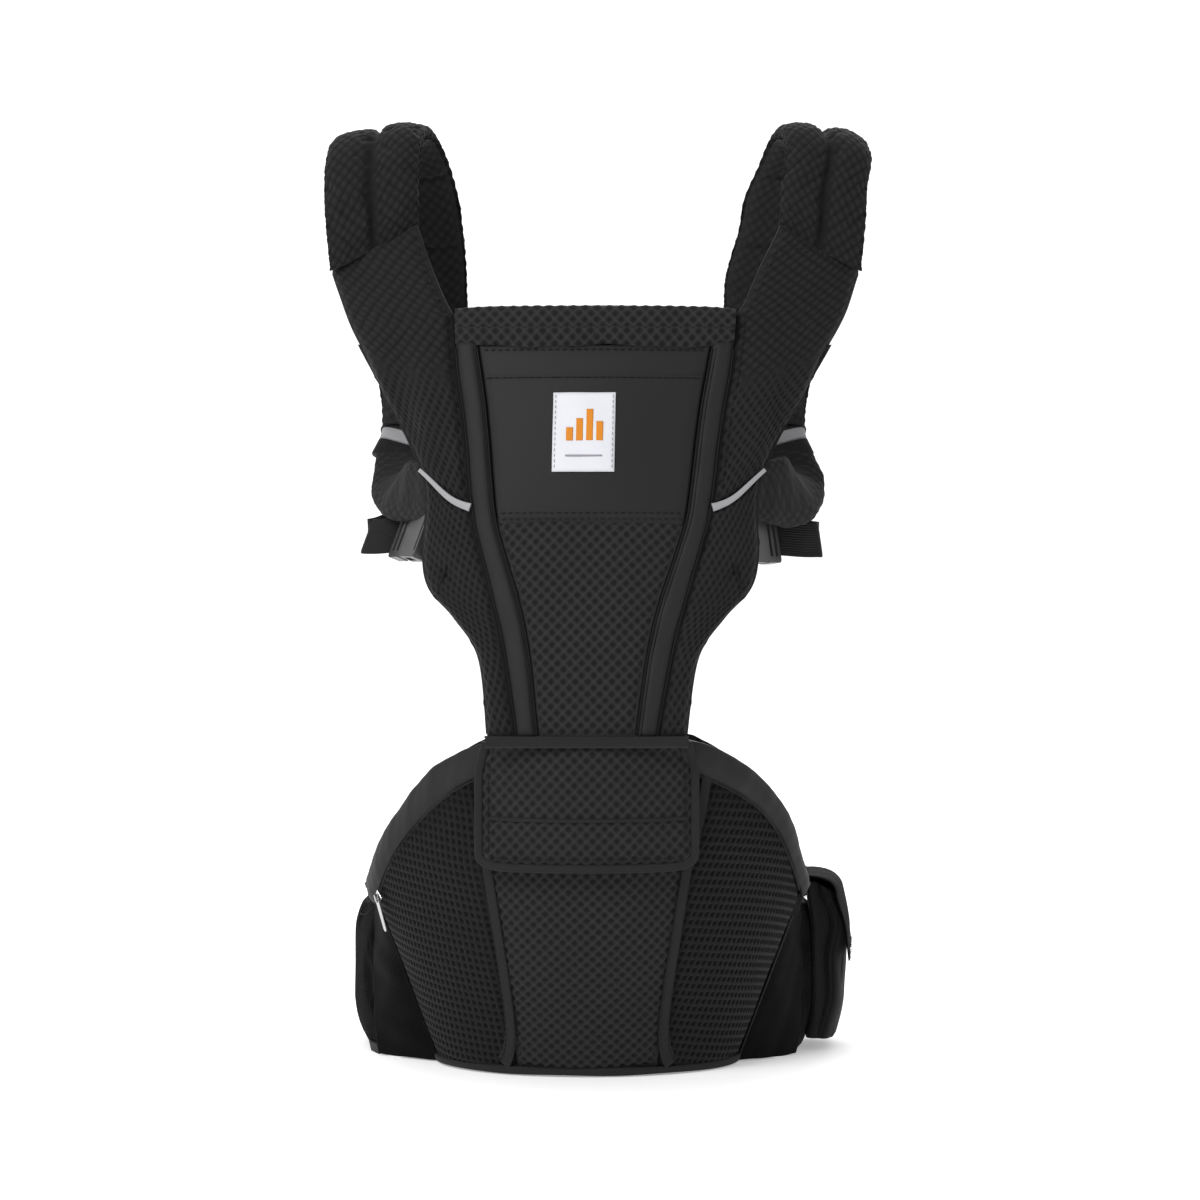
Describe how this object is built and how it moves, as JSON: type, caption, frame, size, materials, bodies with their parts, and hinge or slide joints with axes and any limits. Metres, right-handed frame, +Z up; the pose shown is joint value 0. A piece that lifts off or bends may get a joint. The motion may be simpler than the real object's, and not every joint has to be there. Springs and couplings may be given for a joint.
{
  "type": "soft baby carrier",
  "caption": "Soft structured baby carrier: foam hip seat on a padded waist belt, tall knitted back panel with pocket, looped padded shoulder straps and side-release buckles.",
  "frame": {"origin": "centre of the flat base face under the hip seat", "axes": "+Z up, the front of the carrier faces -Y, +X to the right as seen from the front"},
  "size_m": [0.3632, 0.3933, 0.6374],
  "materials": {
    "waffle_knit": "matte waffle knit",
    "grid_mesh": "open square mesh over black lining",
    "smooth_twill": "smooth twill with a soft sheen",
    "plain_knit": "fine ribbed knit",
    "lining": "brushed lining",
    "webbing": "ribbed polyester webbing",
    "foam": "closed-cell foam",
    "reflective": "grey reflective tape",
    "label": "white satin label",
    "acetal": "dark moulded plastic",
    "metal": "polished metal"
  },
  "bodies": {
    "hip_seat": {"seat_foam_core": "foam", "seat_base_cover": "plain_knit", "seat_front_cover": "waffle_knit", "seat_side_cover_left": "grid_mesh", "seat_side_cover_right": "grid_mesh", "seat_top_cover": "smooth_twill", "zip_tape": "webbing", "belt_front_pad": "plain_knit"},
    "panel": {"panel_centre": "waffle_knit", "panel_stripe_left": "smooth_twill", "panel_stripe_right": "smooth_twill", "panel_foam": "foam", "panel_lining": "lining", "neck_roll": "waffle_knit", "pocket_front": "smooth_twill", "folded_sun_hood": "lining", "woven_label": "label", "side_wing_lower_left": "waffle_knit", "side_wing_lower_right": "waffle_knit", "reflective_piping_left": "reflective", "reflective_piping_right": "reflective", "side_wing_upper_left": "waffle_knit", "side_wing_upper_right": "waffle_knit", "strap_pad_left": "waffle_knit", "strap_pad_right": "waffle_knit", "strap_lining_left": "lining", "strap_lining_right": "lining", "strap_end_band_left": "reflective", "strap_end_band_right": "reflective", "strap_sleeve_left": "plain_knit", "strap_sleeve_right": "plain_knit", "shoulder_buckle_left_socket": "acetal", "shoulder_buckle_right_socket": "acetal"},
    "flap": {"panel_flap": "waffle_knit"},
    "belt_left": {"belt_wing_left": "plain_knit", "hook_patch": "lining", "waist_webbing_left": "webbing", "waist_buckle_socket": "acetal"},
    "belt_right": {"belt_wing_right": "plain_knit", "waist_webbing_right": "webbing", "pouch_body": "smooth_twill"},
    "pouch_lid": {"pouch_flap": "smooth_twill"},
    "slider": {"zip_slider": "metal"},
    "pull": {"zip_pull": "metal"},
    "sternum_strap": {"sternum_strap_left": "webbing", "sternum_strap_right": "webbing", "sternum_buckle_socket": "acetal"},
    "sternum_plug": {"sternum_buckle_plug": "acetal"},
    "waist_plug": {"waist_buckle_plug": "acetal"},
    "waist_prong_a": {"waist_buckle_prong_a": "acetal"},
    "waist_prong_b": {"waist_buckle_prong_b": "acetal"},
    "shoulder_plug_left": {"shoulder_buckle_left_plug": "acetal", "strap_webbing_left": "webbing"},
    "shoulder_prong_left_a": {"shoulder_buckle_left_prong_a": "acetal"},
    "shoulder_prong_left_b": {"shoulder_buckle_left_prong_b": "acetal"},
    "shoulder_plug_right": {"shoulder_buckle_right_plug": "acetal", "strap_webbing_right": "webbing"},
    "shoulder_prong_right_a": {"shoulder_buckle_right_prong_a": "acetal"},
    "shoulder_prong_right_b": {"shoulder_buckle_right_prong_b": "acetal"}
  },
  "joints": [
    {"name": "panel_fold", "type": "hinge", "parent": "hip_seat", "child": "panel", "pos_m": [0, -0.131, 0.2285], "axis": [1, 0, 0], "range_deg": [0, 90]},
    {"name": "flap_lift", "type": "hinge", "parent": "hip_seat", "child": "flap", "pos_m": [0, -0.1335, 0.2265], "axis": [-1, 0, 0], "range_deg": [0, 75]},
    {"name": "belt_right_open", "type": "hinge", "parent": "hip_seat", "child": "belt_right", "pos_m": [0.1425, 0.036, 0.05], "axis": [0, 0, -1], "range_deg": [0, 60]},
    {"name": "belt_left_open", "type": "hinge", "parent": "hip_seat", "child": "belt_left", "pos_m": [-0.1425, 0.036, 0.05], "axis": [0, 0, 1], "range_deg": [0, 30]},
    {"name": "pouch_lid_lift", "type": "hinge", "parent": "belt_right", "child": "pouch_lid", "pos_m": [0.1535, 0.085, 0.125], "axis": [-0.14, -0.9901, 0], "range_deg": [0, 100]},
    {"name": "zip_slide", "type": "hinge", "parent": "hip_seat", "child": "slider", "pos_m": [0.0602, 0.0651, 0.1606], "axis": [-0.3839, 0.4898, 0.7827], "range_deg": [0, 22]},
    {"name": "zip_pull_swing", "type": "hinge", "parent": "slider", "child": "pull", "pos_m": [-0.14222, -0.02246, 0.11517], "axis": [-0.4571, 0.8894, -0.0108], "range_deg": [0, 110]},
    {"name": "shoulder_plug_left_release", "type": "slide", "parent": "panel", "child": "shoulder_plug_left", "axis": [-0.4229, 0.9062, 0], "range_m": [0, 0.026]},
    {"name": "shoulder_prong_left_a_flex", "type": "hinge", "parent": "shoulder_plug_left", "child": "shoulder_prong_left_a", "pos_m": [-0.11206, -0.05718, 0.36986], "axis": [0.8431, 0.3935, -0.3665], "range_deg": [0, 7], "stiffness_Nm_per_rad": 0.05},
    {"name": "shoulder_prong_left_b_flex", "type": "hinge", "parent": "shoulder_plug_left", "child": "shoulder_prong_left_b", "pos_m": [-0.1191, -0.06046, 0.35014], "axis": [0.8431, 0.3935, -0.3665], "range_deg": [-7, 0], "stiffness_Nm_per_rad": 0.05},
    {"name": "shoulder_plug_right_release", "type": "slide", "parent": "panel", "child": "shoulder_plug_right", "axis": [0.4983, 0.867, 0], "range_m": [0, 0.026]},
    {"name": "shoulder_prong_right_a_flex", "type": "hinge", "parent": "shoulder_plug_right", "child": "shoulder_prong_right_a", "pos_m": [0.11264, -0.06099, 0.36846], "axis": [0.856, -0.4919, 0.1592], "range_deg": [0, 7], "stiffness_Nm_per_rad": 0.05},
    {"name": "shoulder_prong_right_b_flex", "type": "hinge", "parent": "shoulder_plug_right", "child": "shoulder_prong_right_b", "pos_m": [0.11556, -0.06267, 0.34754], "axis": [0.856, -0.4919, 0.1592], "range_deg": [-7, 0], "stiffness_Nm_per_rad": 0.05},
    {"name": "waist_plug_clip", "type": "slide", "parent": "belt_right", "child": "waist_plug", "axis": [-0.97, -0.243, 0], "range_m": [0, 0.026]},
    {"name": "waist_prong_a_flex", "type": "hinge", "parent": "waist_plug", "child": "waist_prong_a", "pos_m": [-0.01908, 0.24724, 0.06525], "axis": [0.243, -0.97, 0], "range_deg": [0, 7], "stiffness_Nm_per_rad": 0.08},
    {"name": "waist_prong_b_flex", "type": "hinge", "parent": "waist_plug", "child": "waist_prong_b", "pos_m": [-0.01908, 0.24724, 0.03875], "axis": [0.243, -0.97, 0], "range_deg": [-7, 0], "stiffness_Nm_per_rad": 0.08},
    {"name": "sternum_strap_height", "type": "slide", "parent": "panel", "child": "sternum_strap", "axis": [0, 0, 1], "range_m": [-0.03, 0.03]},
    {"name": "sternum_plug_release", "type": "slide", "parent": "sternum_strap", "child": "sternum_plug", "axis": [1, 0, 0], "range_m": [0, 0.02]}
  ],
  "couplings": [
    {"joint": "belt_left_open", "follows": "belt_right_open", "ratio": 0.5},
    {"joint": "shoulder_prong_left_b_flex", "follows": "shoulder_prong_left_a_flex", "ratio": -1},
    {"joint": "shoulder_prong_right_b_flex", "follows": "shoulder_prong_right_a_flex", "ratio": -1},
    {"joint": "waist_prong_b_flex", "follows": "waist_prong_a_flex", "ratio": -1}
  ]
}
